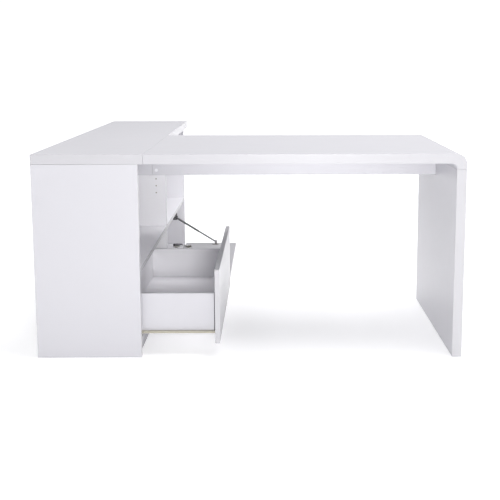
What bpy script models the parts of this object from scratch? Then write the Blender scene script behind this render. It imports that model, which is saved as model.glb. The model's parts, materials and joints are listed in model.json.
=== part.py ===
"""Corner desk: a desktop with one panel leg, joined at right angles to a low two-bay cabinet.

The near bay holds a drawer on roller runners and the far bay a drop-down flap on two cup
hinges with a sliding stay. Metres, +Z up, +X along the desktop towards the leg and +Y along
the cabinet. The origin is on the floor, midway along both overall dimensions.
"""
import math

import bmesh
import bpy
from mathutils import Matrix, Vector

# Overall size and boards
WIDTH, DEPTH, HEIGHT = 1.570, 1.290, 0.760
TOP, BOARD, BACK = 0.036, 0.018, 0.008
GAP = 0.0003                      # clearance between fitted faces
EASE = 0.0008                     # broken edges of the boards
LEFT, RIGHT = -WIDTH / 2, WIDTH / 2
NEAR, FAR = -DEPTH / 2, DEPTH / 2
TOP_UNDER = HEIGHT - TOP

# Desktop with its waterfall corner, and the leg under it
DESK_DEPTH = 0.600
SEAM_X = LEFT + 0.405             # where the cabinet top and the desktop meet
SEAM = 0.0005
CORNER_OUTER, CORNER_INNER = 0.038, 0.014
LEG_JOINT_Z = 0.702
LEG_INNER_X = RIGHT - TOP
DOWEL_R, DOWEL_HALF = 0.005, 0.025
DOWEL_YS = {"front": NEAR + 0.100, "rear": NEAR + 0.500}

# Stretcher beam and its rail inside the cabinet
BEAM_Y, BEAM_UNDER = NEAR + 0.300, 0.632
PLATE = 0.002                     # sheet steel of plates and brackets
PLATE_LOW, PLATE_HIGH, PLATE_HALF, ANGLE_REACH = 0.655, 0.700, 0.055, 0.030
SEAM_PLATE_YS = {"front": NEAR + 0.085, "rear": NEAR + 0.525}
SEAM_PLATE_HALF = (0.040, 0.020)

# Cabinet carcass
CARCASS_X = LEFT + 0.385          # front edges of the carcass boards
BOTTOM_LOW, DIVIDER_LOW = 0.052, 0.317
PLINTH_X = CARCASS_X - 0.0115
BACK_X = LEFT + BACK
PIN_HOLE_R, PIN_HOLE_DEEP, PIN_HOLES, PIN_PITCH, PIN_HOLE_LOW = 0.0025, 0.008, 3, 0.032, 0.491
PIN_ROWS_X = (CARCASS_X - 0.044, LEFT + 0.060)

# Drawer front and flap
FRONT_LOW, FRONT_HIGH, FRONT_OFF, FRONT_MARGIN = 0.052, 0.332, 0.0028, 0.002
FRONT_X = CARCASS_X + FRONT_OFF   # inner face of a closed front
DRAWER_TRAVEL = 0.270

# Drawer box and runners; u is the distance from the carcass board beside it
SIDE, SIDE_U, SIDE_LOW, SIDE_HIGH, BOX_LENGTH = 0.016, 0.0127, 0.0815, 0.234, 0.3505
FLOOR_LOW, FLOOR, GROOVE = 0.0985, 0.004, 0.006
SHEET = 0.001
RUNNER_LOW, RUNNER_HIGH, RUNNER_LENGTH, RUNNER_SET_BACK = 0.0726, 0.102, 0.350, 0.002
TRACK_U, LIP_U = 0.0100, 0.0060
SLIDE_LOW, SLIDE_HIGH, SLIDE_SHORT = SIDE_LOW - GAP - SHEET, 0.092, 0.001
SLIDE_FLANGE_U, SLIDE_SOLE_U = 0.0035, SIDE_U + SIDE - 0.002
ROLLER_R, ROLLER_WIDE, AXLE_R, RUNNING, HEAD_R, HEAD = 0.008, 0.0067, 0.002, 0.00005, 0.0035, 0.0008
ROLLER_INSET = 0.012

# Cup hinges; a distance "in" is from the flap's inner face, "up" from its hinge edge
PIVOT_IN, PIVOT_UP = 0.0115, 0.0078
PIVOT = Vector((FRONT_X + PIVOT_IN, 0.0, FRONT_LOW + PIVOT_UP))
FLAP_TOP_Z = PIVOT.z + PIVOT_IN   # inner face of the open flap
FLAP_EDGE_X = PIVOT.x - PIVOT_UP
HINGE_INSET = 0.081
CUP_UP, CUP_BORE_R, CUP_BORE_DEEP = 0.0215, 0.0175, 0.0149
CUP_R, CUP_DEEP, CUP_WALL, CUP_PROUD = 0.0172, 0.0145, 0.0008, 0.0013
WING_BACK, WING_AHEAD, WING_HALF, WING_TOP = 0.009, 0.011, 0.030, 0.0012
HINGE_PIN_R, HINGE_PIN_HALF, EYE_R, ARM_HALF, ARM_THICK = 0.0011, 0.0065, 0.0019, 0.004, 0.0015
ARM_Z, ARM_BACK_X = PIVOT.z + 0.0195, CARCASS_X - 0.055
MOUNT_LENGTH, MOUNT_HALF = 0.037, 0.0115
FOOT_START, FOOT_LENGTH, FOOT_HALF, FOOT_THICK = 0.012, 0.014, 0.026, 0.0022

# Flap stay: the rod turns on a foot on the flap and runs past a friction brake on the far board.
# A span is from one y to another, both measured from the rod's middle plane towards the far board.
STAY_Y = FAR - 0.0385
ACROSS = Vector((0, 1, 0))
FOOT = Vector((-0.2250, STAY_Y, 0.0880))
BRAKE = Vector((-0.4530, STAY_Y, 0.2300))
ROD_R, ROD_PAST, COLLAR_R, COLLAR_SPAN = 0.004, 0.010, 0.0055, (-0.006, 0.001)
ROD_EYE_R, ROD_EYE_SPAN, STAY_RUNNING = 0.0065, (-0.0045, 0.0043), 0.0001
FOOT_BACK, FOOT_AHEAD, FOOT_NEAR, EAR_SPAN, EAR_HALF = 0.020, 0.016, 0.009, (0.0052, 0.0068), 0.006
FOOT_PIN_R, FOOT_PIN_SPAN, FOOT_HEAD_R, FOOT_HEAD_SPAN = 0.002, (-0.0055, 0.0072), 0.004, (-0.0064, -0.0048)
WALL_PLATE_HALF = (0.011, 0.023)
SHOE_SPAN, SHOE_END_R, SHOE_REACH, SHOE_BORE_R = (0.0080, 0.0150), 0.009, 0.009, 0.0026
BRAKE_PIN_R, BRAKE_HEAD_R, BRAKE_HEAD_SPAN = 0.0025, 0.0045, (0.0061, 0.0077)

for old in list(bpy.data.objects):
    bpy.data.objects.remove(old, do_unlink=True)


def material(name, colour, roughness, metallic=0.0):
    """A Principled material of one colour."""
    made = bpy.data.materials.new(name)
    made.use_nodes = True
    shader = made.node_tree.nodes["Principled BSDF"]
    shader.inputs["Base Color"].default_value = (*colour, 1.0)
    shader.inputs["Roughness"].default_value = roughness
    shader.inputs["Metallic"].default_value = metallic
    made.diffuse_color = (*colour, 1.0)
    return made


WHITE = material("white_foil", (0.86, 0.86, 0.88), 0.35)
GLOSS = material("white_front", (0.84, 0.84, 0.86), 0.25)
INSIDE = material("white_melamine", (0.80, 0.80, 0.83), 0.5)
BEECH = material("beech", (0.62, 0.45, 0.28), 0.7)
CREAM = material("coated_steel", (0.70, 0.68, 0.62), 0.45)
NYLON = material("nylon", (0.75, 0.75, 0.72), 0.5)
NICKEL = material("nickel_steel", (0.50, 0.50, 0.51), 0.3, 1.0)
DARK = material("dark_steel", (0.10, 0.10, 0.11), 0.4, 0.8)


def axis_empty(name, at, parent=None):
    """An empty on a joint's axis, which carries the pieces that move with it."""
    made = bpy.data.objects.new(name, None)
    made.empty_display_size = 0.03
    bpy.context.collection.objects.link(made)
    return set_down(made, at, parent)


def set_down(made, at, parent):
    """Places an object by world position, under a parent that is only moved and never turned."""
    made.parent = parent
    made.location = Vector(at) - (world_place(parent) if parent else Vector())
    return made


def world_place(made):
    """World position of an unturned object, from its chain of parents."""
    place = Vector(made.location)
    while made.parent:
        made = made.parent
        place += made.location
    return place


def piece(name, shape, look, at, parent=None, smooth=False):
    """A named object from a bmesh in world coordinates, with its origin at the point given."""
    bmesh.ops.recalc_face_normals(shape, faces=shape.faces)
    bmesh.ops.translate(shape, verts=shape.verts, vec=-Vector(at))
    mesh = bpy.data.meshes.new(name)
    shape.to_mesh(mesh)
    shape.free()
    if look:
        mesh.materials.append(look)
    if smooth:
        mesh.shade_smooth()
        mesh.set_sharp_from_angle(angle=math.radians(35))
    made = bpy.data.objects.new(name, mesh)
    bpy.context.collection.objects.link(made)
    return set_down(made, at, parent)


def box_shape(low, high):
    """A box between two corners."""
    low, high = Vector(low), Vector(high)
    shape = bmesh.new()
    size = Matrix.Diagonal((*(high - low), 1.0))
    bmesh.ops.create_cube(shape, size=1.0, matrix=Matrix.Translation((low + high) / 2) @ size)
    return shape


def prism_shape(outline, axis, start, end):
    """An outline pulled straight along an axis. The outline's pairs are the two other axes in order."""
    shape = bmesh.new()
    place = "XYZ".index(axis)
    ring = [shape.verts.new((*pair[:place], start, *pair[place:])) for pair in outline]
    pulled = bmesh.ops.extrude_face_region(shape, geom=[shape.faces.new(ring)])["geom"]
    along = Vector([end - start if letter == axis else 0.0 for letter in "XYZ"])
    bmesh.ops.translate(shape, verts=[v for v in pulled if isinstance(v, bmesh.types.BMVert)], vec=along)
    return shape


def rod_shape(start, end, radius, sides):
    """A round bar between two points."""
    start, end = Vector(start), Vector(end)
    turn = (end - start).to_track_quat("Z", "Y").to_matrix().to_4x4()
    shape = bmesh.new()
    bmesh.ops.create_cone(
        shape, cap_ends=True, segments=sides, radius1=radius, radius2=radius, depth=(end - start).length,
        matrix=Matrix.Translation((start + end) / 2) @ turn,
    )
    return shape


def ease(made, width=EASE):
    """Breaks the edges of a board."""
    bevel = made.modifiers.new("eased_edges", "BEVEL")
    bevel.width, bevel.segments, bevel.limit_method = width, 1, "ANGLE"
    return made


def combine(made, shape, operation):
    """A Boolean with a tool shape, which is kept as a hidden wire object."""
    tool = piece(f"{made.name}_tool_{len(made.modifiers)}", shape, None, world_place(made), made.parent)
    tool.hide_render = True
    tool.display_type = "WIRE"
    boolean = made.modifiers.new(tool.name, "BOOLEAN")
    boolean.operation, boolean.solver, boolean.object = operation, "EXACT", tool
    return made


def board(name, low, high, look=WHITE, at=None, parent=None):
    """A straight board with eased edges, its origin at its lower corner unless one is given."""
    return ease(piece(name, box_shape(low, high), look, low if at is None else at, parent))


def arc(centre, radius, first, last, steps):
    """Points on an arc, with angles in degrees."""
    for step in range(steps + 1):
        angle = math.radians(first + (last - first) * step / steps)
        yield centre[0] + radius * math.cos(angle), centre[1] + radius * math.sin(angle)


def build_desktop():
    """The desktop bent down at its corner, the leg under it and the two dowels between them."""
    outer = (RIGHT - CORNER_OUTER, HEIGHT - CORNER_OUTER)
    inner = (LEG_INNER_X - CORNER_INNER, TOP_UNDER - CORNER_INNER)
    start_x, low = SEAM_X + SEAM, LEG_JOINT_Z + GAP
    outline = [(start_x, TOP_UNDER), (start_x, HEIGHT), *arc(outer, CORNER_OUTER, 90, 0, 10), (RIGHT, low),
               (LEG_INNER_X, low), *arc(inner, CORNER_INNER, 0, 90, 6)]
    rear = NEAR + DESK_DEPTH
    shape = prism_shape(outline, "Y", NEAR, rear)
    desktop = ease(piece("desktop", shape, WHITE, (start_x, NEAR, HEIGHT), smooth=True))
    leg = board("leg_panel", (LEG_INNER_X, NEAR, 0), (RIGHT, rear, LEG_JOINT_Z))
    middle = RIGHT - TOP / 2
    for place, y in DOWEL_YS.items():
        low_end, high_end = (middle, y, LEG_JOINT_Z - DOWEL_HALF), (middle, y, LEG_JOINT_Z + DOWEL_HALF)
        bore_low, bore_high = Vector(low_end) - Vector((0, 0, GAP)), Vector(high_end) + Vector((0, 0, GAP))
        piece(f"leg_dowel_{place}", rod_shape(low_end, high_end, DOWEL_R, 16), BEECH, low_end, smooth=True)
        for bored in (desktop, leg):
            combine(bored, rod_shape(bore_low, bore_high, DOWEL_R + GAP, 16), "DIFFERENCE")


def build_beam():
    """The stretcher beam, cut back under the corner's curve, its rail in the cabinet, and their plates."""
    back_y = BEAM_Y + BOARD
    start_x, end_x, high, cut = CARCASS_X + GAP, LEG_INNER_X - GAP, TOP_UNDER - GAP, CORNER_INNER + GAP
    outline = [(start_x, BEAM_UNDER), (end_x, BEAM_UNDER), (end_x, high - cut), (end_x - cut, high),
               (start_x, high)]
    shape = prism_shape(outline, "Y", BEAM_Y, back_y)
    ease(piece("stretcher_beam", shape, WHITE, (start_x, BEAM_Y, BEAM_UNDER)))
    board("cross_rail", (BACK_X + GAP, BEAM_Y, BEAM_UNDER), (CARCASS_X - GAP, back_y, high), INSIDE)
    plate_y = back_y + GAP
    low = (CARCASS_X - PLATE_HALF, plate_y, PLATE_LOW)
    piece("rail_plate", box_shape(low, (CARCASS_X + PLATE_HALF, plate_y + PLATE, PLATE_HIGH)), NICKEL, low)
    face_x, reach = LEG_INNER_X - GAP, ANGLE_REACH
    corner = [(face_x - reach, plate_y), (face_x, plate_y), (face_x, plate_y + reach),
              (face_x - PLATE, plate_y + reach), (face_x - PLATE, plate_y + PLATE),
              (face_x - reach, plate_y + PLATE)]
    shape = prism_shape(corner, "Z", PLATE_LOW, PLATE_HIGH)
    piece("beam_angle", shape, NICKEL, (face_x, plate_y, PLATE_LOW))
    for place, y in SEAM_PLATE_YS.items():
        half, z = Vector((*SEAM_PLATE_HALF, PLATE / 2)), TOP_UNDER - GAP - PLATE / 2
        centre = Vector((SEAM_X, y, z))
        piece(f"seam_plate_{place}", box_shape(centre - half, centre + half), NICKEL, centre)


def pin_holes(made, face_y, into):
    """Shelf-pin holes in a carcass board's face, in two upright rows."""
    for x in PIN_ROWS_X:
        for hole in range(PIN_HOLES):
            z = PIN_HOLE_LOW + hole * PIN_PITCH
            mouth, end = (x, face_y - into * PIN_HOLE_R, z), (x, face_y + into * PIN_HOLE_DEEP, z)
            combine(made, rod_shape(mouth, end, PIN_HOLE_R, 12), "DIFFERENCE")


def build_cabinet():
    """The carcass: top, three uprights, and the boards of both bays."""
    board("cabinet_top", (LEFT, NEAR, TOP_UNDER), (SEAM_X, FAR, HEIGHT))
    upright_top = TOP_UNDER - GAP
    near = board("end_panel_near", (LEFT, NEAR, 0), (CARCASS_X, NEAR + BOARD, upright_top))
    far = board("end_panel_far", (LEFT, FAR - BOARD, 0), (CARCASS_X, FAR, upright_top))
    middle = board("partition", (LEFT, -BOARD / 2, 0), (CARCASS_X, BOARD / 2, upright_top))
    pin_holes(near, NEAR + BOARD, -1)
    pin_holes(far, FAR - BOARD, 1)
    pin_holes(middle, -BOARD / 2, 1)
    pin_holes(middle, BOARD / 2, -1)
    bays = {"near": (NEAR + BOARD, -BOARD / 2), "far": (BOARD / 2, FAR - BOARD)}
    for place, (y0, y1) in bays.items():
        y0, y1 = y0 + GAP, y1 - GAP
        inner = BACK_X + GAP
        board(f"divider_{place}", (inner, y0, DIVIDER_LOW), (CARCASS_X, y1, DIVIDER_LOW + BOARD), INSIDE)
        board(f"bottom_{place}", (inner, y0, BOTTOM_LOW), (CARCASS_X, y1, BOTTOM_LOW + BOARD), INSIDE)
        board(f"plinth_{place}", (PLINTH_X - BOARD, y0, 0), (PLINTH_X, y1, BOTTOM_LOW - GAP))
        board(f"back_{place}", (LEFT, y0, 0), (BACK_X, y1, upright_top), INSIDE)


def build_drawer():
    """The drawer, pulled out, with its runners and rollers."""
    slide = axis_empty("drawer_slide", (FRONT_X + DRAWER_TRAVEL, (NEAR - BOARD / 2) / 2, FRONT_LOW))
    front_x, rear_x = FRONT_X + DRAWER_TRAVEL, FRONT_X + DRAWER_TRAVEL - BOX_LENGTH
    board("drawer_front", (front_x, NEAR + FRONT_MARGIN, FRONT_LOW),
          (front_x + BOARD, -FRONT_MARGIN, FRONT_HIGH), GLOSS, parent=slide)
    side, runner, member = drawer_outlines()
    for place, base, sign in (("near", NEAR + BOARD, 1), ("far", -BOARD / 2, -1)):
        def pulled(outline, start, end):
            return prism_shape([(base + sign * u, z) for u, z in outline], "X", start, end)
        corner = (rear_x, base, SIDE_LOW)
        piece(f"drawer_side_{place}", pulled(side, rear_x, front_x - GAP), INSIDE, corner, slide)
        piece(f"slide_{place}", pulled(member, rear_x, front_x - SLIDE_SHORT), CREAM, corner, slide)
        end_x = CARCASS_X - RUNNER_SET_BACK
        shape = pulled(runner, end_x - RUNNER_LENGTH, end_x)
        piece(f"runner_{place}", shape, CREAM, (end_x, base, RUNNER_LOW))
        build_runner_roller(place, base, sign)
        build_slide_roller(place, base, sign, rear_x + ROLLER_INSET, slide)
    near_y, far_y = NEAR + BOARD + SIDE_U + SIDE, -BOARD / 2 - SIDE_U - SIDE
    board("drawer_back", (rear_x, near_y + GAP, FLOOR_LOW + FLOOR + GAP),
          (rear_x + SIDE, far_y - GAP, SIDE_HIGH), INSIDE, parent=slide)
    low = (rear_x, near_y - GROOVE + GAP, FLOOR_LOW)
    high = (front_x - GAP, far_y + GROOVE - GAP, FLOOR_LOW + FLOOR)
    piece("drawer_bottom", box_shape(low, high), INSIDE, low, slide)


def drawer_outlines():
    """Cross-sections, as (u, z), of the grooved drawer side, the fixed runner and the drawer's slide."""
    inner_u, groove_u = SIDE_U + SIDE, SIDE_U + SIDE - GROOVE
    floor_low, floor_high = FLOOR_LOW - GAP, FLOOR_LOW + FLOOR + GAP
    side = [(SIDE_U, SIDE_LOW), (inner_u, SIDE_LOW), (inner_u, floor_low), (groove_u, floor_low),
            (groove_u, floor_high), (inner_u, floor_high), (inner_u, SIDE_HIGH), (SIDE_U, SIDE_HIGH)]
    track, web_u, lip = RUNNER_LOW + SHEET, GAP + SHEET, RUNNER_HIGH - SHEET
    runner = [(GAP, RUNNER_LOW), (TRACK_U, RUNNER_LOW), (TRACK_U, track), (web_u, track), (web_u, lip),
              (LIP_U, lip), (LIP_U, RUNNER_HIGH), (GAP, RUNNER_HIGH)]
    hang_u, flange, sole = SIDE_U - GAP, SLIDE_HIGH - SHEET, SLIDE_LOW + SHEET
    member = [(SLIDE_FLANGE_U, flange), (hang_u - SHEET, flange), (hang_u - SHEET, SLIDE_LOW),
              (SLIDE_SOLE_U, SLIDE_LOW), (SLIDE_SOLE_U, sole), (hang_u, sole), (hang_u, SLIDE_HIGH),
              (SLIDE_FLANGE_U, SLIDE_HIGH)]
    return side, runner, member


def build_runner_roller(place, base, sign):
    """A fixed runner's front roller, under the slide's flange, on an axle that stands on the web."""
    foot = 2 * GAP + SHEET
    wheel = (foot + GAP, foot + GAP + ROLLER_WIDE)
    head = (wheel[1] + GAP, wheel[1] + GAP + HEAD)
    centre = Vector((CARCASS_X - ROLLER_INSET, base, SLIDE_HIGH - SHEET - GAP - ROLLER_R))
    shaft = (foot, sum(head) / 2)
    build_roller(f"roller_{place}", f"axle_{place}", centre, sign, wheel, shaft, head, None)


def build_slide_roller(place, base, sign, x, slide):
    """A slide's rear roller, on the fixed runner's track, on an axle that stands on the slide."""
    foot = SIDE_U - 2 * GAP - SHEET
    wheel = (foot - GAP - ROLLER_WIDE, foot - GAP)
    head = (wheel[0] - GAP - HEAD, wheel[0] - GAP)
    centre = Vector((x, base, RUNNER_LOW + SHEET + GAP + ROLLER_R))
    shaft = (sum(head) / 2, foot)
    build_roller(f"slide_roller_{place}", f"slide_axle_{place}", centre, sign, wheel, shaft, head, slide)


def build_roller(name, axle_name, centre, sign, wheel, shaft, head, carrier):
    """A roller on its headed axle. Wheel, shaft and head are spans of u."""
    def bar(span, radius):
        ends = [centre + ACROSS * sign * u for u in span]
        return rod_shape(*ends, radius, 24)
    spin = axis_empty(f"{name}_spin", centre + ACROSS * sign * sum(wheel) / 2, carrier)
    made = piece(name, bar(wheel, ROLLER_R), NYLON, world_place(spin), spin, smooth=True)
    combine(made, bar((wheel[0] - GAP, wheel[1] + GAP), AXLE_R + RUNNING), "DIFFERENCE")
    axle = piece(axle_name, bar(shaft, AXLE_R), NICKEL, world_place(spin), carrier, smooth=True)
    combine(axle, bar(head, HEAD_R), "UNION")


def build_flap():
    """The flap, lowered, with its cup hinges."""
    turn = axis_empty("flap_hinge", PIVOT)
    far_y = FAR - FRONT_MARGIN
    flap = board("flap", (FLAP_EDGE_X, FRONT_MARGIN, FLAP_TOP_Z - BOARD),
                 (FLAP_EDGE_X + FRONT_HIGH - FRONT_LOW, far_y, FLAP_TOP_Z), GLOSS, PIVOT, turn)
    for place, y in (("near", FRONT_MARGIN + HINGE_INSET), ("far", far_y - HINGE_INSET)):
        build_hinge_cup(place, y, flap, turn)
        build_hinge_arm(place, y)


def build_hinge_cup(place, y, flap, turn):
    """A hinge's winged cup, let into the flap, and its pin."""
    cup_x = FLAP_EDGE_X + CUP_UP

    def upright(radius, low, high):
        return rod_shape((cup_x, y, FLAP_TOP_Z + low), (cup_x, y, FLAP_TOP_Z + high), radius, 32)
    combine(flap, upright(CUP_BORE_R, -CUP_BORE_DEEP, CUP_PROUD), "DIFFERENCE")
    pivot = Vector((PIVOT.x, y, PIVOT.z))
    cup = piece(f"hinge_cup_{place}", upright(CUP_R, -CUP_DEEP, CUP_PROUD), NICKEL, pivot, turn)
    wings = box_shape((cup_x - WING_BACK, y - WING_HALF, FLAP_TOP_Z + GAP),
                      (cup_x + WING_AHEAD, y + WING_HALF, FLAP_TOP_Z + WING_TOP))
    combine(cup, wings, "UNION")
    combine(cup, upright(CUP_R - CUP_WALL, CUP_WALL - CUP_DEEP, CUP_PROUD + CUP_WALL), "DIFFERENCE")
    pin = across_bar(pivot, (-HINGE_PIN_HALF, HINGE_PIN_HALF), HINGE_PIN_R)
    piece(f"hinge_pin_{place}", pin, NICKEL, pivot, turn, smooth=True)


def build_hinge_arm(place, y):
    """A hinge's fixed arm, hooked down into the cup, and the plate that it stands on."""
    half = ARM_THICK / 2
    start = math.degrees(math.atan2(math.sqrt(EYE_R ** 2 - half ** 2), -half))
    eye = arc((PIVOT.x, PIVOT.z), EYE_R, start, 540 - start, 18)
    outline = [(ARM_BACK_X, ARM_Z), (PIVOT.x - half, ARM_Z), *eye,
               (PIVOT.x + half, ARM_Z + ARM_THICK), (ARM_BACK_X, ARM_Z + ARM_THICK)]
    pivot = Vector((PIVOT.x, y, PIVOT.z))
    arm = piece(f"hinge_arm_{place}", prism_shape(outline, "Y", y - ARM_HALF, y + ARM_HALF), NICKEL, pivot)
    combine(arm, across_bar(pivot, (-HINGE_PIN_HALF, HINGE_PIN_HALF), HINGE_PIN_R + RUNNING), "DIFFERENCE")
    low = Vector((ARM_BACK_X, y, BOTTOM_LOW + BOARD + GAP))
    block = box_shape(low - ACROSS * MOUNT_HALF, (low.x + MOUNT_LENGTH, y + MOUNT_HALF, ARM_Z - GAP))
    plate = piece(f"hinge_plate_{place}", block, NICKEL, low)
    foot_low = low + Vector((FOOT_START, -FOOT_HALF, 0))
    foot = box_shape(foot_low, foot_low + Vector((FOOT_LENGTH, 2 * FOOT_HALF, FOOT_THICK)))
    combine(plate, foot, "UNION")


def across_bar(centre, span, radius, sides=24):
    """A round bar along Y, over a span measured from a centre."""
    return rod_shape(centre + ACROSS * span[0], centre + ACROSS * span[1], radius, sides)


def build_stay():
    """The flap's stay: rod, foot and friction brake."""
    turn = bpy.data.objects["flap_hinge"]
    rod_turn = axis_empty("stay_rod_hinge", FOOT, turn)
    brake_turn = axis_empty("stay_brake_hinge", BRAKE)
    along = (BRAKE - FOOT).normalized()
    end = BRAKE + along * ROD_PAST
    rod = piece("stay_rod", rod_shape(FOOT, end, ROD_R, 16), DARK, FOOT, rod_turn, smooth=True)
    collar = rod_shape(end + along * COLLAR_SPAN[0], end + along * COLLAR_SPAN[1], COLLAR_R, 16)
    combine(rod, collar, "UNION")
    combine(rod, across_bar(FOOT, ROD_EYE_SPAN, ROD_EYE_R), "UNION")
    combine(rod, across_bar(FOOT, (-ROD_EYE_R, ROD_EYE_R), FOOT_PIN_R + STAY_RUNNING), "DIFFERENCE")
    build_stay_foot(turn)
    build_brake(along, brake_turn)


def build_stay_foot(turn):
    """The foot screwed to the flap, an ear on a base plate, with the pin that the rod turns on."""
    base = FLAP_TOP_Z + GAP
    low = (FOOT.x - FOOT_BACK, STAY_Y - FOOT_NEAR, base)
    high = (FOOT.x + FOOT_AHEAD, STAY_Y + EAR_SPAN[1] + GAP, base + PLATE)
    foot = piece("stay_foot", box_shape(low, high), NICKEL, FOOT, turn)
    ear = box_shape((FOOT.x - EAR_HALF, STAY_Y + EAR_SPAN[0], base + PLATE / 2),
                    (FOOT.x + EAR_HALF, STAY_Y + EAR_SPAN[1], FOOT.z + EAR_HALF))
    combine(foot, ear, "UNION")
    combine(foot, across_bar(FOOT, (0, 2 * EAR_SPAN[1]), FOOT_PIN_R + GAP), "DIFFERENCE")
    pin = piece("foot_pin", across_bar(FOOT, FOOT_PIN_SPAN, FOOT_PIN_R), NICKEL, FOOT, turn, smooth=True)
    combine(pin, across_bar(FOOT, FOOT_HEAD_SPAN, FOOT_HEAD_R), "UNION")


def build_brake(along, turn):
    """The brake shoe, swivelling on a headed pin in front of its wall plate."""
    wall = FAR - BOARD - GAP
    half = Vector((WALL_PLATE_HALF[0], PLATE / 2, WALL_PLATE_HALF[1]))
    centre = Vector((BRAKE.x, wall - PLATE / 2, BRAKE.z))
    ease(piece("stay_plate", box_shape(centre - half, centre + half), DARK, centre))
    lean = Matrix.Rotation(math.atan2(along.z, along.x), 2)
    ends = [*arc((SHOE_REACH, 0), SHOE_END_R, 90, -90, 8), *arc((-SHOE_REACH, 0), SHOE_END_R, -90, -270, 8)]
    outline = [tuple(Vector((BRAKE.x, BRAKE.z)) + lean @ Vector(end)) for end in ends]
    shoe_y = (STAY_Y + SHOE_SPAN[0], STAY_Y + SHOE_SPAN[1])
    shoe = piece("stay_brake", prism_shape(outline, "Y", *shoe_y), DARK, BRAKE, turn)
    bore_span = (SHOE_SPAN[0] - PLATE, SHOE_SPAN[1] + PLATE)
    combine(shoe, across_bar(BRAKE, bore_span, SHOE_BORE_R), "DIFFERENCE")
    pin_span = (sum(BRAKE_HEAD_SPAN) / 2, wall - PLATE - GAP - STAY_Y)
    pin = piece("brake_pin", across_bar(BRAKE, pin_span, BRAKE_PIN_R), NICKEL, BRAKE, smooth=True)
    combine(pin, across_bar(BRAKE, BRAKE_HEAD_SPAN, BRAKE_HEAD_R), "UNION")


build_desktop()
build_beam()
build_cabinet()
build_drawer()
build_flap()
build_stay()
bpy.context.view_layer.update()
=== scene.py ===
"""White corner desk with a drawer, a drop-down flap and metal fittings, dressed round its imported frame."""
import json
import logging
import math
from dataclasses import dataclass
from enum import Enum
from typing import Iterable, Iterator, Sequence

import bmesh
import bpy
from mathutils import Matrix, Vector


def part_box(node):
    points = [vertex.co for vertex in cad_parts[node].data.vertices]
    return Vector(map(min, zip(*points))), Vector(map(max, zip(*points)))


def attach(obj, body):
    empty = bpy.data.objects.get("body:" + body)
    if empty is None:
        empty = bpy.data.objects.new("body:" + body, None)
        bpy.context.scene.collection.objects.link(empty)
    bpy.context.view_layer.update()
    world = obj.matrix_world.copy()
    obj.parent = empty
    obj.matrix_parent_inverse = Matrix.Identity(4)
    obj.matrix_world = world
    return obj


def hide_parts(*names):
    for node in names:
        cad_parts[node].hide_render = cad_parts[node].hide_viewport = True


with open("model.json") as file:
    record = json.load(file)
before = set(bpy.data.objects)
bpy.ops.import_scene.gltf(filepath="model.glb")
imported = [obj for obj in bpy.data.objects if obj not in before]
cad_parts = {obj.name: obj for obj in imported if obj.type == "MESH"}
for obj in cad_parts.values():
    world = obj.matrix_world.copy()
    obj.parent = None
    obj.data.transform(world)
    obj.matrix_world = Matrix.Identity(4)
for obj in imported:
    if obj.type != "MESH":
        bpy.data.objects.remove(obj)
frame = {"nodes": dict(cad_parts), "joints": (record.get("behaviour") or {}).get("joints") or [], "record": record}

LOG = logging.getLogger("corner_desk")
MM = 0.001
GAP = 0.3 * MM              # air left between pieces that touch
SQUARE = 0.999              # a face whose normal has this much of an axis faces along it
UP, ACROSS, ALONG = Vector((0, 0, 1)), Vector((0, 1, 0)), Vector((1, 0, 0))
NOISE_LOW, NOISE_HIGH = 0.3, 0.7      # the range that nearly all of a noise texture keeps to
SMUDGE_SHARE = 0.23         # size of the changes in gloss, as a share of those in colour

Pair = tuple[float, float]
Place = tuple[Vector, Vector]         # a point, and the way that what is set there faces
Mesh = bmesh.types.BMesh
Thing = bpy.types.Object
Look = bpy.types.Material
Tree = bpy.types.NodeTree
Socket = bpy.types.NodeSocket


class Body(Enum):
    """The rigid bodies that pieces ride on."""

    DESK = "desk"
    DRAWER = "drawer"
    ROLLER_NEAR = "roller_near_body"
    ROLLER_FAR = "roller_far_body"
    SLIDE_ROLLER_NEAR = "slide_roller_near_body"
    SLIDE_ROLLER_FAR = "slide_roller_far_body"
    FLAP = "flap_body"
    ROD = "stay_rod_body"
    BRAKE = "stay_brake_body"


class Slot(Enum):
    """The record's slots for pieces that stand for no node."""

    MOULDED = "nylon"
    BRIGHT = "nickel_steel"
    DARK = "dark_steel"


class Side(Enum):
    """The drawer's and the flap's two sides, each with its way inwards along Y."""

    NEAR = 1
    FAR = -1

    @property
    def word(self) -> str:
        """The side's word in the names of nodes."""
        return self.name.lower()


# ---------------------------------------------------------------- finishes


def linear(code: str) -> tuple[float, float, float, float]:
    """Turns an sRGB colour into linear light.

    Args:
        code: Six hex digits, such as "E8E8EC".

    Returns:
        Red, green, blue and an alpha of one.
    """
    parts = [int(code[i:i + 2], 16) / 255 for i in (0, 2, 4)]
    light = [p / 12.92 if p <= 0.04045 else ((p + 0.055) / 1.055) ** 2.4 for p in parts]
    return light[0], light[1], light[2], 1.0


def per_metre(size_mm: float) -> float:
    """The scale of a pattern with cells of a size in millimetres."""
    return 1 / (size_mm * MM)


def add_node(tree: Tree, kind: str, inputs: dict | None = None, **settings) -> bpy.types.Node:
    """Adds a node with its settings, values and links.

    Args:
        tree: The node tree that it goes in.
        kind: The node's type.
        inputs: Input socket (name or index) to a value, or to another node's output socket.
        **settings: The node's own properties.

    Returns:
        The new node.
    """
    node = tree.nodes.new(kind)
    for key, value in settings.items():
        setattr(node, key, value)
    for key, value in (inputs or {}).items():
        if isinstance(value, Socket):
            tree.links.new(value, node.inputs[key])
        else:
            node.inputs[key].default_value = value
    return node


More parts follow.
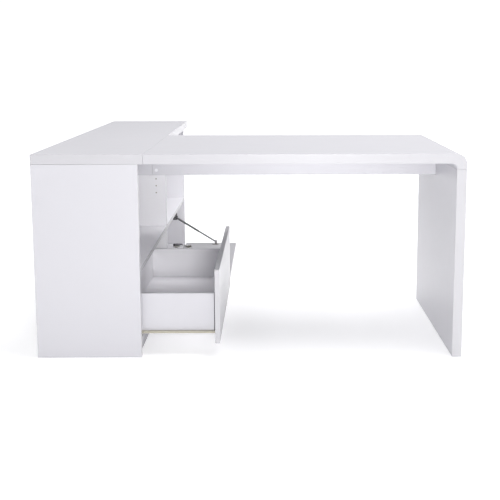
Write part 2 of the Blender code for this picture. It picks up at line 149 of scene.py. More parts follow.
@dataclass(frozen=True)
class Finish:
    """A made surface: its colour, its gloss and the texture that the making left in it."""

    name: str
    colour: str
    tint: str                  # the colour's second tone
    roughness: float
    grain_mm: float            # size of the texture's cells
    relief_mm: float           # height of the texture
    drift_mm: float = 260.0    # size of the slow drift in colour
    spread: float = 0.05       # how far roughness strays either way
    metallic: float = 0.0
    ior: float = 1.5
    coat: float = 0.0
    coat_roughness: float = 0.1
    sheer: float = 0.0         # light that passes into the material
    stretch: tuple[float, float, float] = (1.0, 1.0, 1.0)
    least_roughness: float = 0.02
    sheer_depth: float = 2 * MM

    def coordinates(self, tree: Tree) -> Socket:
        """Object coordinates, drawn out along a brushed or grained direction."""
        place = add_node(tree, "ShaderNodeTexCoord").outputs["Object"]
        return add_node(tree, "ShaderNodeMapping", {"Vector": place, "Scale": self.stretch}).outputs[0]

    def relief(self, tree: Tree, where: Socket) -> Socket:
        """Height of the surface's fine texture, from 0 to 1."""
        inputs = {"Vector": where, "Scale": per_metre(self.grain_mm), "Detail": 2.0, "Roughness": 0.5}
        return add_node(tree, "ShaderNodeTexNoise", inputs).outputs["Fac"]

    def share(self, tree: Tree, where: Socket) -> Socket:
        """How much of the second tone shows: here, a slow drift."""
        inputs = {"Vector": where, "Scale": per_metre(self.drift_mm), "Detail": 3.0}
        return add_node(tree, "ShaderNodeTexNoise", inputs).outputs["Fac"]

    def tone(self, tree: Tree, where: Socket) -> Socket:
        """The surface's colour, between its two tones."""
        inputs = {0: self.share(tree, where), 6: linear(self.colour), 7: linear(self.tint)}
        return add_node(tree, "ShaderNodeMix", inputs, data_type="RGBA").outputs[2]

    def gloss(self, tree: Tree, where: Socket) -> Socket:
        """Makes the surface's roughness, which strays a little either way.

        Args:
            tree: The material's node tree.
            where: The coordinates that the pattern follows.

        Returns:
            The roughness, as a socket.
        """
        scale = per_metre(self.drift_mm * SMUDGE_SHARE)
        smudge = add_node(tree, "ShaderNodeTexNoise",
                          {"Vector": where, "Scale": scale, "Detail": 4.0, "Roughness": 0.6}).outputs["Fac"]
        inputs = {"Value": smudge, "From Min": NOISE_LOW, "From Max": NOISE_HIGH,
                  "To Min": max(self.roughness - self.spread, self.least_roughness),
                  "To Max": self.roughness + self.spread}
        return add_node(tree, "ShaderNodeMapRange", inputs).outputs["Result"]

    def material(self) -> Look:
        """Builds the finish's material.

        Returns:
            A Principled material with its colour, roughness and bump from nodes.
        """
        made = bpy.data.materials.new(self.name)
        made.use_nodes = True
        tree = made.node_tree
        shader = tree.nodes["Principled BSDF"]
        where = self.coordinates(tree)
        bump = add_node(tree, "ShaderNodeBump", {"Height": self.relief(tree, where), "Strength": 1.0,
                                                 "Distance": self.relief_mm * MM})
        for name, socket in (("Base Color", self.tone(tree, where)), ("Roughness", self.gloss(tree, where)),
                             ("Normal", bump.outputs["Normal"])):
            tree.links.new(socket, shader.inputs[name])
        settings = {"Metallic": self.metallic, "Coat Weight": self.coat,
                    "Coat Roughness": self.coat_roughness, "Subsurface Weight": self.sheer,
                    "Subsurface Scale": self.sheer_depth}
        if not self.metallic:
            settings["IOR"] = self.ior
        for key, value in settings.items():
            shader.inputs[key].default_value = value
        made.diffuse_color = linear(self.colour)
        return made


@dataclass(frozen=True)
class Brushed(Finish):
    """Plated sheet steel: long fine lines from rolling under the plate."""

    line_grains: float = 2.0   # spacing of the lines, in grains

    def share(self, tree: Tree, where: Socket) -> Socket:
        """Streaks of the second tone along the rolling direction."""
        inputs = {"Vector": where, "Scale": per_metre(self.grain_mm * self.line_grains), "Detail": 3.0}
        return add_node(tree, "ShaderNodeTexNoise", inputs).outputs["Fac"]


@dataclass(frozen=True)
class Chips(Finish):
    """Sawn or drilled chipboard: pressed wood chips in mixed browns."""

    def share(self, tree: Tree, where: Socket) -> Socket:
        """Each chip's own brown."""
        cells = add_node(tree, "ShaderNodeTexVoronoi", {"Vector": where, "Scale": per_metre(self.grain_mm)})
        return add_node(tree, "ShaderNodeSeparateColor", {"Color": cells.outputs["Color"]}).outputs[0]


@dataclass(frozen=True)
class Timber(Finish):
    """Turned beech: close growth rings with short darker flecks."""

    ring_grains: float = 6.0   # width of a growth ring, in grains

    def share(self, tree: Tree, where: Socket) -> Socket:
        """Rings and flecks of the second tone."""
        inputs = {"Vector": where, "Scale": per_metre(self.grain_mm * self.ring_grains), "Distortion": 4.0,
                  "Detail": 3.0}
        return add_node(tree, "ShaderNodeTexWave", inputs, bands_direction="X").outputs["Fac"]


class Shelf:
    """The finishes, each made once and handed out by what it is."""

    def __init__(self) -> None:
        """Makes every material."""
        # White foil wrapped and pressed on MDF. Satin, with the press's faint orange peel; real cells of
        # about 1 mm are drawn at 2 mm so that they show.
        self.foil = Finish("foil_wrapped_mdf", "C6C5CA", "C9C8CD", 0.34, 2.0, 0.012, spread=0.015).material()
        # The same board lacquered for the fronts: smoother, and a thin clear coat gives soft reflections. Its
        # colour is set darker than the foil's as painted shade on the fronts' faces.
        self.lacquer = Finish("lacquered_mdf", "ADACB0", "B0AFB3", 0.32, 3.0, 0.006, spread=0.012, coat=0.2,
                              coat_roughness=0.2).material()
        # White melamine on chipboard, pressed against a pearl plate: matt, with a close, sharper grain. Real
        # pearl is 0.5 mm, drawn at 1.5 mm so that it shows. Its colour is set brighter than the foil's as
        # painted light, which lifts the inner faces out of the shade they lie in.
        self.melamine = Finish("melamine_chipboard", "F2F1F4", "F4F3F6", 0.46, 1.5, 0.015,
                               spread=0.02).material()
        # A copy of the melamine for the far bay: the same grain, set a shade less bright as painted shade in
        # that bay.
        self.liner = Finish("melamine_liner_board", "DDDCE0", "E0DFE3", 0.46, 1.5, 0.015,
                            spread=0.02).material()
        # ABS edge band, extruded and scraped flush: a touch warmer and glossier than the faces beside it.
        self.band = Finish("abs_edge_band", "BDBCC0", "C0BFC3", 0.32, 1.2, 0.004, spread=0.015).material()
        # Sheet steel in cream epoxy powder: soft gloss and small, rounded orange peel of 0.8 mm.
        self.cream = Finish("epoxy_coated_steel", "ABA697", "AFAB9E", 0.36, 0.8, 0.012,
                            drift_mm=90).material()
        # Nickel plate over rolled steel: bright, with fine lines. Real ones are 0.15 mm apart, and drawn at
        # 0.4 mm so that they show.
        self.nickel = Brushed("nickel_plated_steel", "B7B5B1", "C9C8C5", 0.27, 0.4, 0.004, drift_mm=30,
                              metallic=1.0, stretch=(0.08, 1.0, 1.0)).material()
        # Zinc plate, passivated: greyer and duller than nickel, with a fine crystalline mottle.
        self.zinc = Brushed("zinc_plated_steel", "77767A", "858488", 0.36, 0.5, 0.004, drift_mm=30,
                            metallic=1.0, stretch=(0.3, 1.0, 1.0)).material()
        # Steel in dark grey baked enamel: nearly black, with a thin bright skin.
        self.dark = Finish("dark_enamelled_steel", "2A2B2E", "343539", 0.38, 0.6, 0.010, drift_mm=25,
                           coat=0.3, coat_roughness=0.2).material()
        # Natural nylon, injection moulded: milky, with a fine matt skin and a little light inside it.
        self.nylon = Finish("moulded_nylon", "E2DFD3", "E8E6DC", 0.48, 0.5, 0.008, drift_mm=12,
                            sheer=0.15).material()
        # White ABS, injection moulded and polished, for the caps over the cams.
        self.cap = Finish("moulded_abs", "DCDCE1", "E2E2E6", 0.33, 1.0, 0.004, drift_mm=20).material()
        # The set-back plinth's white foil, matt and close-grained against scuffs, set darker grey as painted
        # shade for the shadow that the plinth stands in.
        self.plinth = Finish("foil_wrapped_plinth", "A3A2A7", "A7A6AB", 0.5, 1.5, 0.02,
                             spread=0.02).material()
        # Thin paper band, ironed on the inner boards' edges: flat, and set a little greyer than their faces as
        # painted shade on those edges.
        self.paper = Finish("melamine_paper_band", "B2B1B5", "B5B4B8", 0.5, 0.8, 0.01, spread=0.02).material()
        # Dark grey and matt, for the strips between the drawer's sides and front: painted shadow in the gap
        # there.
        self.rubber = Finish("moulded_rubber", "5B5B5E", "626266", 0.7, 0.5, 0.01, drift_mm=30).material()
        # Black acetal, injection moulded, for the hinges' clips and bushes: dense, with a low even gloss.
        self.acetal = Finish("moulded_acetal", "1E1E20", "242427", 0.42, 0.4, 0.004, drift_mm=12).material()
        # Drilled and sawn chipboard: greyish brown chips of about 1.5 mm.
        self.chips = Chips("raw_chipboard", "8A8378", "A59D90", 0.85, 1.5, 0.15, spread=0.1).material()
        # Turned beech dowel: pinkish brown rings.
        self.beech = Timber("beech", "B98F66", "CFA980", 0.6, 0.8, 0.03, stretch=(1.0, 1.0, 0.12)).material()


# ---------------------------------------------------------------- mesh making


def box_mesh(low: Vector, high: Vector) -> Mesh:
    """Makes a plain box, to be eased or cut.

    Args:
        low: Its lowest corner.
        high: Its highest corner.

    Returns:
        A closed mesh.
    """
    mesh = bmesh.new()
    size = Matrix.Diagonal((*(high - low), 1.0))
    bmesh.ops.create_cube(mesh, size=1.0, matrix=Matrix.Translation((low + high) / 2) @ size)
    return mesh


def prism_mesh(outline: Sequence[Pair], axis: int, start: float, end: float) -> Mesh:
    """Pulls an outline straight along an axis.

    Args:
        outline: Corners in the plane of the two other axes, in their order.
        axis: 0, 1 or 2 for X, Y or Z.
        start: Where the prism starts on that axis.
        end: Where it ends.

    Returns:
        A closed mesh.
    """
    mesh = bmesh.new()
    rings = [[mesh.verts.new((*pair[:axis], at, *pair[axis:])) for pair in outline] for at in (start, end)]
    for ring in rings:
        mesh.faces.new(ring)
    count = len(outline)
    for i in range(count):
        j = (i + 1) % count
        mesh.faces.new((rings[0][i], rings[0][j], rings[1][j], rings[1][i]))
    bmesh.ops.recalc_face_normals(mesh, faces=mesh.faces)
    return mesh


def lathe_mesh(profile: Sequence[Pair], centre: Vector, axis: Vector, steps: int,
               closed: bool = False) -> Mesh:
    """Turns a profile round an axis.

    Args:
        profile: Pairs of radius and height along the axis.
        centre: Where height is zero.
        axis: The axis's direction.
        steps: Facets in a full turn.
        closed: Whether the profile is a loop, as a ring's is, or runs from axis to axis.

    Returns:
        A closed mesh.
    """
    mesh = bmesh.new()
    turn = Matrix.Translation(centre) @ axis.to_track_quat("Z", "Y").to_matrix().to_4x4()
    rings: list[list[bmesh.types.BMVert]] = []
    for radius, height in profile:
        if not radius:
            rings.append([mesh.verts.new(turn @ Vector((0, 0, height)))])
            continue
        angles = (math.tau * step / steps for step in range(steps))
        rings.append([mesh.verts.new(turn @ Vector((radius * math.cos(a), radius * math.sin(a), height)))
                      for a in angles])
    pairs = list(zip(rings, rings[1:]))
    if closed:
        pairs.append((rings[-1], rings[0]))
    for low, high in pairs:
        for i in range(steps):
            j = (i + 1) % steps
            corners = [low[i % len(low)], low[j % len(low)], high[j % len(high)], high[i % len(high)]]
            kept = list(dict.fromkeys(corners))
            if len(kept) > 2:
                mesh.faces.new(kept)
    bmesh.ops.recalc_face_normals(mesh, faces=mesh.faces)
    return mesh


def arc(centre: Pair, radius: float, first: float, last: float, steps: int) -> Iterator[Pair]:
    """Walks along an arc.

    Args:
        centre: The arc's centre.
        radius: Its radius.
        first: The angle that it starts at, in degrees.
        last: The angle that it ends at.
        steps: Chords along it.

    Returns:
        The points, ends included.
    """
    for step in range(steps + 1):
        angle = math.radians(first + (last - first) * step / steps)
        yield centre[0] + radius * math.cos(angle), centre[1] + radius * math.sin(angle)


def rounded(low: Pair, high: Pair, radius: float, steps: int = 5) -> list[Pair]:
    """Outlines a rectangle with round corners.

    Args:
        low: Its lowest corner.
        high: Its highest corner.
        radius: The corners' radius.
        steps: Chords round each corner.

    Returns:
        The outline's points.
    """
    (x0, y0), (x1, y1) = low, high
    turns = (((x1 - radius, y0 + radius), -90), ((x1 - radius, y1 - radius), 0),
             ((x0 + radius, y1 - radius), 90), ((x0 + radius, y0 + radius), 180))
    return [point for centre, start in turns for point in arc(centre, radius, start, start + 90, steps)]


def ease(mesh: Mesh, width: float, segments: int = 3, angle: float = 40.0) -> Mesh:
    """Rounds every edge sharper than an angle.

    Args:
        mesh: The mesh to round.
        width: How far the rounding reaches on each side.
        segments: Facets across it.
        angle: The smallest turn in degrees that is rounded.

    Returns:
        The same mesh.
    """
    sharp = [e for e in mesh.edges if len(e.link_faces) == 2 and math.degrees(e.calc_face_angle(0)) > angle]
    bmesh.ops.bevel(mesh, geom=sharp, offset=width, offset_type="OFFSET", segments=segments, profile=0.5,
                    affect="EDGES", clamp_overlap=True)
    return mesh


def joined(*meshes: Mesh) -> Mesh:
    """Puts the pressed or welded parts of one piece in one mesh.

    Args:
        *meshes: The parts. All but the first are freed.

    Returns:
        The first mesh, with the others in it.
    """
    whole, *rest = meshes
    for other in rest:
        spare = bpy.data.meshes.new("spare")
        other.to_mesh(spare)
        other.free()
        whole.from_mesh(spare)
        bpy.data.meshes.remove(spare)
    return whole


def set_shading(mesh: bpy.types.Mesh, sharp: float = 35.0, broad: float = 60 * MM ** 2) -> None:
    """Shades curves smooth, and keeps broad square faces flat up to their rounded edges.

    Args:
        mesh: The mesh to shade.
        sharp: The turn in degrees past which an edge stays sharp.
        broad: The area from which a square face is flat.
    """
    exactly_square = 0.99999
    mesh.shade_smooth()
    mesh.set_sharp_from_angle(angle=math.radians(sharp))
    for face in mesh.polygons:
        if max(abs(c) for c in face.normal) > exactly_square and face.area > broad:
            face.use_smooth = False


def joint_place(name: str) -> Vector:
    """Where a joint's axis is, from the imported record."""
    return Vector(next(joint["pos_m"] for joint in frame["joints"] if joint["name"] == name))


class Maker:
    """Turns meshes into pieces that ride on the frame, and keeps the record's slots at hand."""

    weld = 0.005 * MM          # how close the frame's doubled corners lie
    flat = math.radians(0.5)   # facets that turn less than this are one face

    def __init__(self) -> None:
        """Reads each node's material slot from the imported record."""
        self.slots = {part["node"]: part["material_slot"] for part in frame["record"]["subparts"]}

    def rough(self, name: str, mesh: Mesh, looks: Sequence[Look]) -> Thing:
        """Makes an object from a mesh in world coordinates, ready for modifiers.

        Args:
            name: The object's name.
            mesh: Its shape, which is freed.
            looks: Its materials, in the order of the faces' indices.

        Returns:
            The new object.
        """
        data = bpy.data.meshes.new(name)
        mesh.to_mesh(data)
        mesh.free()
        for look in looks:
            data.materials.append(look)
        made = bpy.data.objects.new(name, data)
        bpy.context.scene.collection.objects.link(made)
        return made

    def cut(self, made: Thing, cutter: Thing) -> None:
        """Cuts one object out of another for good.

        Args:
            made: The object that is cut.
            cutter: What is cut out of it, which is then removed.
        """
        boolean = made.modifiers.new("cut", "BOOLEAN")
        boolean.operation, boolean.solver, boolean.object = "DIFFERENCE", "EXACT", cutter
        boolean.material_mode = "TRANSFER"
        self.settle(made)
        bpy.data.objects.remove(cutter)

    def settle(self, made: Thing) -> None:
        """Replaces an object's mesh by the result of its modifiers.

        Args:
            made: The object, which ends with no modifier.
        """
        bpy.context.view_layer.update()
        evaluated = made.evaluated_get(bpy.context.evaluated_depsgraph_get())
        result = bpy.data.meshes.new_from_object(evaluated)
        made.modifiers.clear()
        made.data = result

    def mount(self, made: Thing, body: Body, node: str = "", slot: Slot | None = None) -> None:
        """Finishes a piece and sets it on its body.

        Args:
            made: The piece's object, in its place at rest.
            body: The body it rides on.
            node: The frame's node that it stands for, if any.
            slot: The record's slot, where it stands for none; not used.
        """
        set_shading(made.data)
        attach(made, body.value)
        if node:
            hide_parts(node)
        LOG.info("%s: %d faces on %s", made.name, len(made.data.polygons), body.value)

    def piece(self, node: str, mesh: Mesh, look: Look, body: Body) -> None:
        """Makes and mounts a piece that stands for the node of the same name."""
        self.mount(self.rough(f"{node}_made", mesh, [look]), body, node)

    def extra(self, name: str, mesh: Mesh, look: Look, body: Body, slot: Slot) -> None:
        """Makes and mounts a piece that stands for no node."""
        self.mount(self.rough(name, mesh, [look]), body, slot=slot)

    def from_frame(self, node: str, look: Look, body: Body, width: float) -> None:
        """Makes and mounts a piece from a node's own shape, with its edges rounded.

        Args:
            node: The frame's node.
            look: The piece's material.
            body: The body it rides on.
            width: How far the rounding reaches on each side of an edge.
        """
        mesh = bmesh.new()
        mesh.from_mesh(frame["nodes"][node].data)
        bmesh.ops.remove_doubles(mesh, verts=mesh.verts, dist=self.weld)
        bmesh.ops.dissolve_limit(mesh, angle_limit=self.flat, verts=mesh.verts, edges=mesh.edges)
        self.piece(node, ease(mesh, width, segments=2), look, body)


class PointTree:
    """A Geometry Nodes tree that sets a copy of a shape on each of a host's points."""

    seed = 7
    inputs = (("Points", "Geometry"), ("Shape", "Object"), ("Finish", "Material"), ("Size", "Float"),
              ("Spin", "Float"), ("Seed", "Int"))

    def __init__(self, name: str) -> None:
        """Builds the tree: points, turned copies, realised and given their finish.

        Args:
            name: The tree's name.
        """
        self.tree = tree = bpy.data.node_groups.new(name, "GeometryNodeTree")
        self.keys: dict[str, str] = {}
        for word, kind in self.inputs:
            socket = tree.interface.new_socket(word, in_out="INPUT", socket_type=f"NodeSocket{kind}")
            self.keys[word] = socket.identifier
        tree.interface.new_socket("Pieces", in_out="OUTPUT", socket_type="NodeSocketGeometry")
        given = add_node(tree, "NodeGroupInput").outputs
        facing = add_node(tree, "GeometryNodeInputNamedAttribute", {"Name": "facing"},
                          data_type="FLOAT_VECTOR").outputs["Attribute"]
        aim = add_node(tree, "FunctionNodeAlignRotationToVector", {"Vector": facing}, axis="Z")
        chance = add_node(tree, "FunctionNodeRandomValue", {"Seed": given["Seed"]}, data_type="FLOAT")
        tree.links.new(given["Spin"], next(s for s in chance.inputs if s.name == "Max" and s.type == "VALUE"))
        angle = next(s for s in chance.outputs if s.type == "VALUE")
        turn = add_node(tree, "FunctionNodeAxisAngleToRotation", {"Axis": UP, "Angle": angle})
        turned = add_node(tree, "FunctionNodeRotateRotation",
                          {"Rotation": aim.outputs[0], "Rotate By": turn.outputs[0]}, rotation_space="LOCAL")
        shape = add_node(tree, "GeometryNodeObjectInfo", {"Object": given["Shape"]},
                         transform_space="ORIGINAL")
        copies = add_node(tree, "GeometryNodeInstanceOnPoints",
                          {"Points": given["Points"], "Instance": shape.outputs["Geometry"],
                           "Rotation": turned.outputs[0], "Scale": given["Size"]})
        real = add_node(tree, "GeometryNodeRealizeInstances", {"Geometry": copies.outputs[0]})
        dressed = add_node(tree, "GeometryNodeSetMaterial",
                           {"Geometry": real.outputs[0], "Material": given["Finish"]})
        add_node(tree, "NodeGroupOutput", {"Pieces": dressed.outputs[0]})

    def scatter(self, maker: Maker, name: str, places: Sequence[Place], shape: Thing, finish: Look,
                size: float = 1.0, spin: float = math.tau) -> Thing:
        """Sets the shape on each place.

        Args:
            maker: Settles the result into a plain mesh.
            name: The new object's name.
            places: Points, each with the direction its copy faces.
            shape: What is copied, made about the origin and facing +Z.
            finish: The copies' material.
            size: The copies' scale.
            spin: The largest random turn about the facing direction, in radians.

        Returns:
            One object with all the copies, its modifier gone.
        """
        data = bpy.data.meshes.new(name)
        data.from_pydata([place for place, _ in places], [], [])
        facing = data.attributes.new("facing", "FLOAT_VECTOR", "POINT")
        for entry, (_, direction) in zip(facing.data, places):
            entry.vector = direction
        host = bpy.data.objects.new(name, data)
        bpy.context.scene.collection.objects.link(host)
        nodes = host.modifiers.new("copies", "NODES")
        nodes.node_group = self.tree
        for word, value in (("Shape", shape), ("Finish", finish), ("Size", size), ("Spin", spin),
                            ("Seed", self.seed)):
            nodes[self.keys[word]] = value
        maker.settle(host)
        return host


class Fixings:
    """The small repeated parts: one of each about the origin, facing +Z, and what sets out its copies."""

    screw_mm = ((0, 1.5), (1.6, 1.42), (2.6, 1.1), (3.25, 0.55), (3.5, 0.0), (3.5, -0.2), (1.6, -0.2),
                (1.6, -1.5), (0, -1.5))
    cap_mm = ((0, 0.9), (5.2, 0.9), (5.9, 0.75), (6.4, 0.35), (6.5, -0.4), (0, -0.4))
    brad_mm = ((0, 0.35), (0.6, 0.3), (1.1, 0.1), (1.2, -0.3), (0, -0.3))
    pin_hole_mm = ((0, 2.0), (3.1, 2.0), (3.1, 0.0), (2.5, -0.5), (2.5, -8.0), (0, -8.8))
    slot_half, slot_reach = 0.33 * MM, 2.0 * MM       # the screw's cross: half a slot's width, and its reach
    slot_floor, slot_top = 0.35 * MM, 3.0 * MM
    screw_steps, cap_steps, brad_steps, hole_steps = 28, 32, 12, 24

    def __init__(self, maker: Maker, shelf: Shelf) -> None:
        """Makes the prototypes and the tree that copies them.

        Args:
            maker: Makes and mounts the pieces.
            shelf: The finishes.
        """
        self.maker, self.shelf = maker, shelf
        self.tree = PointTree("set_on_points")
        self.screw = self.prototype("screw", self.screw_mm, self.screw_steps)
        self.recess()
        self.cap = self.prototype("cap", self.cap_mm, self.cap_steps)
        self.brad = self.prototype("brad", self.brad_mm, self.brad_steps)
        self.pin_hole = self.prototype("pin_hole", self.pin_hole_mm, self.hole_steps)

    def prototype(self, name: str, profile_mm: Sequence[Pair], steps: int) -> Thing:
        """Turns a prototype.

        Args:
            name: What it is.
            profile_mm: Pairs of radius and height, in millimetres.
            steps: Facets in a full turn.

        Returns:
            Its object.
        """
        profile = [(radius * MM, height * MM) for radius, height in profile_mm]
        made = self.maker.rough(f"proto_{name}", lathe_mesh(profile, Vector(), UP, steps), [])
        set_shading(made.data)
        return made

    def recess(self) -> None:
        """Cuts the cross recess in the pan-head screw."""
        half, reach = self.slot_half, self.slot_reach
        cross = [(reach, -half), (reach, half), (half, half), (half, reach), (-half, reach), (-half, half)]
        cross += [(-x, -y) for x, y in cross]
        cutter = self.maker.rough("cross", prism_mesh(cross, 2, self.slot_floor, self.slot_top), [])
        self.maker.cut(self.screw, cutter)

    def screws(self, name: str, body: Body, places: Sequence[Place], size: float = 1.0) -> None:
        """Drives a screw at each place and mounts them as one piece."""
        made = self.tree.scatter(self.maker, name, places, self.screw, self.shelf.nickel, size)
        self.maker.mount(made, body, slot=Slot.BRIGHT)

    def caps(self, name: str, places: Sequence[Place]) -> None:
        """Presses a cap over each of the desk's cams and mounts them as one piece."""
        made = self.tree.scatter(self.maker, name, places, self.cap, self.shelf.cap)
        self.maker.mount(made, Body.DESK, slot=Slot.MOULDED)

    def nails(self, name: str, places: Sequence[Place]) -> None:
        """Drives a nail at each place in the desk and mounts them as one piece."""
        made = self.tree.scatter(self.maker, name, places, self.brad, self.shelf.nickel)
        self.maker.mount(made, Body.DESK, slot=Slot.BRIGHT)

    def pin_holes(self, made: Thing, places: Sequence[Place]) -> None:
        """Drills a shelf-pin hole in a board at each place."""
        cutter = self.tree.scatter(self.maker, "cutter", places, self.pin_hole, self.shelf.chips, spin=0.0)
        self.maker.cut(made, cutter)

    def clear(self) -> None:
        """Removes the prototypes."""
        for made in (self.screw, self.cap, self.brad, self.pin_hole):
            bpy.data.objects.remove(made)


@dataclass
class Boards:
    """Cuts boards to the frame's sizes, with rounded edges and banded sides."""

    maker: Maker
    shelf: Shelf
    edge: float = 1.0 * MM

    def shape(self, node: str, face: Look, band: Look | None = None) -> Thing:
        """A straight board the size of a node, not yet mounted.

        Args:
            node: The node that it stands for.
            face: The material of its two broad faces.
            band: The material of its edges, or none where the face's wraps round.

        Returns:
            The board's object.
        """
        low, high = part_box(node)
        thick = min(range(3), key=lambda axis: high[axis] - low[axis])
        return self.banded(node, box_mesh(low, high), thick, face, band)

    def banded(self, node: str, mesh: Mesh, thick: int, face: Look, band: Look | None) -> Thing:
        """Rounds a board's edges and bands its sides.

        Args:
            node: The node that it stands for.
            mesh: The board's shape.
            thick: The axis of its thickness.
            face: The material of its two broad faces.
            band: The material of its edges, if it is another.

        Returns:
            The board's object, not yet mounted.
        """
        ease(mesh, self.edge)
        for side in mesh.faces:
            side.material_index = 1 if band and abs(side.normal[thick]) < SQUARE else 0
        return self.maker.rough(f"{node}_made", mesh, [face, band] if band else [face])

    def place(self, node: str, body: Body, face: Look, band: Look | None = None) -> None:
        """Makes and mounts a straight board."""
        self.maker.mount(self.shape(node, face, band), body, node)


# ---------------------------------------------------------------- the desk's pieces


@dataclass
class Tabletop:
    """The desktop bent down at its corner, its panel leg, and the dowels between them."""

    boards: Boards
    outer: float = 38 * MM         # the bend's radius on its outer side
    inner: float = 14 * MM         # and on its inner side
    steps: int = 28
    chamfer: float = 1.2 * MM      # at the dowels' ends
    dowel_steps: int = 24

    def outline(self) -> list[Pair]:
        """Outlines the desktop as seen from the front.

        Returns:
            Pairs of X and Z, with the bend's two arcs.
        """
        low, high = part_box("desktop")
        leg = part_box("leg_panel")[0].x
        under = high.z - (high.x - leg)
        bend = arc((high.x - self.outer, high.z - self.outer), self.outer, 90, 0, self.steps)
        hollow = arc((leg - self.inner, under - self.inner), self.inner, 0, 90, self.steps // 2)
        return [(low.x, under), (low.x, high.z), *bend, (high.x, low.z), (leg, low.z), *hollow]

    def build(self) -> None:
        """Builds the desktop, the leg and the dowels, with the bores that the dowels sit in."""
        maker, shelf = self.boards.maker, self.boards.shelf
        low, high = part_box("desktop")
        mesh = prism_mesh(self.outline(), 1, low.y, high.y)
        top = self.boards.banded("desktop", mesh, 1, shelf.band, shelf.foil)
        leg = self.boards.shape("leg_panel", shelf.foil, shelf.band)
        for node in ("leg_dowel_front", "leg_dowel_rear"):
            for board in (top, leg):
                maker.cut(board, maker.rough("bore", self.dowel(node, GAP), [shelf.chips]))
            maker.piece(node, self.dowel(node, 0.0), shelf.beech, Body.DESK)
        maker.mount(top, Body.DESK, "desktop")
        maker.mount(leg, Body.DESK, "leg_panel")

    def dowel(self, node: str, spare: float) -> Mesh:
        """Shapes a dowel with chamfered ends, or its bore.

        Args:
            node: The dowel's node.
            spare: The room left round it, for the bore.

        Returns:
            A closed mesh.
        """
        low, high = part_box(node)
        radius, half = (high.x - low.x) / 2 + spare, (high.z - low.z) / 2 + spare
        face, shoulder = radius - self.chamfer, half - self.chamfer
        profile = [(0, -half), (face, -half), (radius, -shoulder), (radius, shoulder), (face, half),
                   (0, half)]
        return lathe_mesh(profile, (low + high) / 2, UP, self.dowel_steps)


@dataclass
class Stretcher:
    """The beam under the desktop, its rail in the cabinet, and the plates that hold beam, leg and tops."""

    boards: Boards
    fixings: Fixings
    cut: float = 14.3 * MM                  # the beam's corner, cut off under the desktop's bend
    cap_at: Pair = (16 * MM, 20 * MM)       # the cam's cap, from the beam's lower corner at the cabinet
    corner: float = 3 * MM                  # the plates' round corners
    plate_edge: float = 0.3 * MM
    screws_at: Pair = (0.74, 0.5)           # the plates' screws, as shares of the half sizes
    angle_edge: float = 0.5 * MM
    angle_sheet: float = 2 * MM
    angle_inset: float = 9 * MM             # its screws, from the free edge of their wing
    angle_rises: Pair = (0.27, 0.73)        # their heights, as shares of the angle's

    def build(self) -> None:
        """Builds the beam, the rail and the four plates with their screws."""
        maker, shelf = self.boards.maker, self.boards.shelf
        low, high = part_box("stretcher_beam")
        outline = [(low.x, low.z), (high.x, low.z), (high.x, high.z - self.cut), (high.x - self.cut, high.z),
                   (low.x, high.z)]
        mesh = prism_mesh(outline, 1, low.y, high.y)
        maker.mount(self.boards.banded("stretcher_beam", mesh, 1, shelf.foil, shelf.band), Body.DESK,
                    "stretcher_beam")
        cap = Vector((low.x + self.cap_at[0], low.y, low.z + self.cap_at[1]))
        self.fixings.caps("stretcher_cam_cap", [(cap, -ACROSS)])
        self.boards.place("cross_rail", Body.DESK, shelf.foil)
        self.plate("rail_plate", 1, ACROSS)
        self.plate("seam_plate_front", 2, -UP)
        self.plate("seam_plate_rear", 2, -UP)
        self.angle()

    def plate(self, node: str, axis: int, out: Vector) -> None:
        """Builds a flat plate with round corners and four screws.

        Args:
            node: The plate's node.
            axis: The axis of its thickness.
            out: The way that the screws' heads face.
        """
        low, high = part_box(node)
        u, v = (i for i in range(3) if i != axis)
        outline = rounded((low[u], low[v]), (high[u], high[v]), self.corner)
        mesh = ease(prism_mesh(outline, axis, low[axis], high[axis]), self.plate_edge, 2)
        self.boards.maker.piece(node, mesh, self.boards.shelf.nickel, Body.DESK)
        places = []
        for across in (-self.screws_at[0], self.screws_at[0]):
            for along in (-self.screws_at[1], self.screws_at[1]):
                place = (low + high) / 2
                place[u] += (high[u] - low[u]) / 2 * across
                place[v] += (high[v] - low[v]) / 2 * along
                place[axis] = high[axis] if out[axis] > 0 else low[axis]
                places.append((place, out))
        self.fixings.screws(f"{node}_screws", Body.DESK, places)

    def angle(self) -> None:
        """Builds the angle between the beam and the leg, with two screws in each wing."""
        self.boards.maker.from_frame("beam_angle", self.boards.shelf.nickel, Body.DESK, self.angle_edge)
        low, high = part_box("beam_angle")
        sheet, inset = self.angle_sheet, self.angle_inset
        places = []
        for share in self.angle_rises:
            z = low.z + (high.z - low.z) * share
            places.append((Vector((low.x + inset, low.y + sheet, z)), ACROSS))
            places.append((Vector((high.x - sheet, high.y - inset, z)), -ALONG))
        self.fixings.screws("beam_angle_screws", Body.DESK, places)


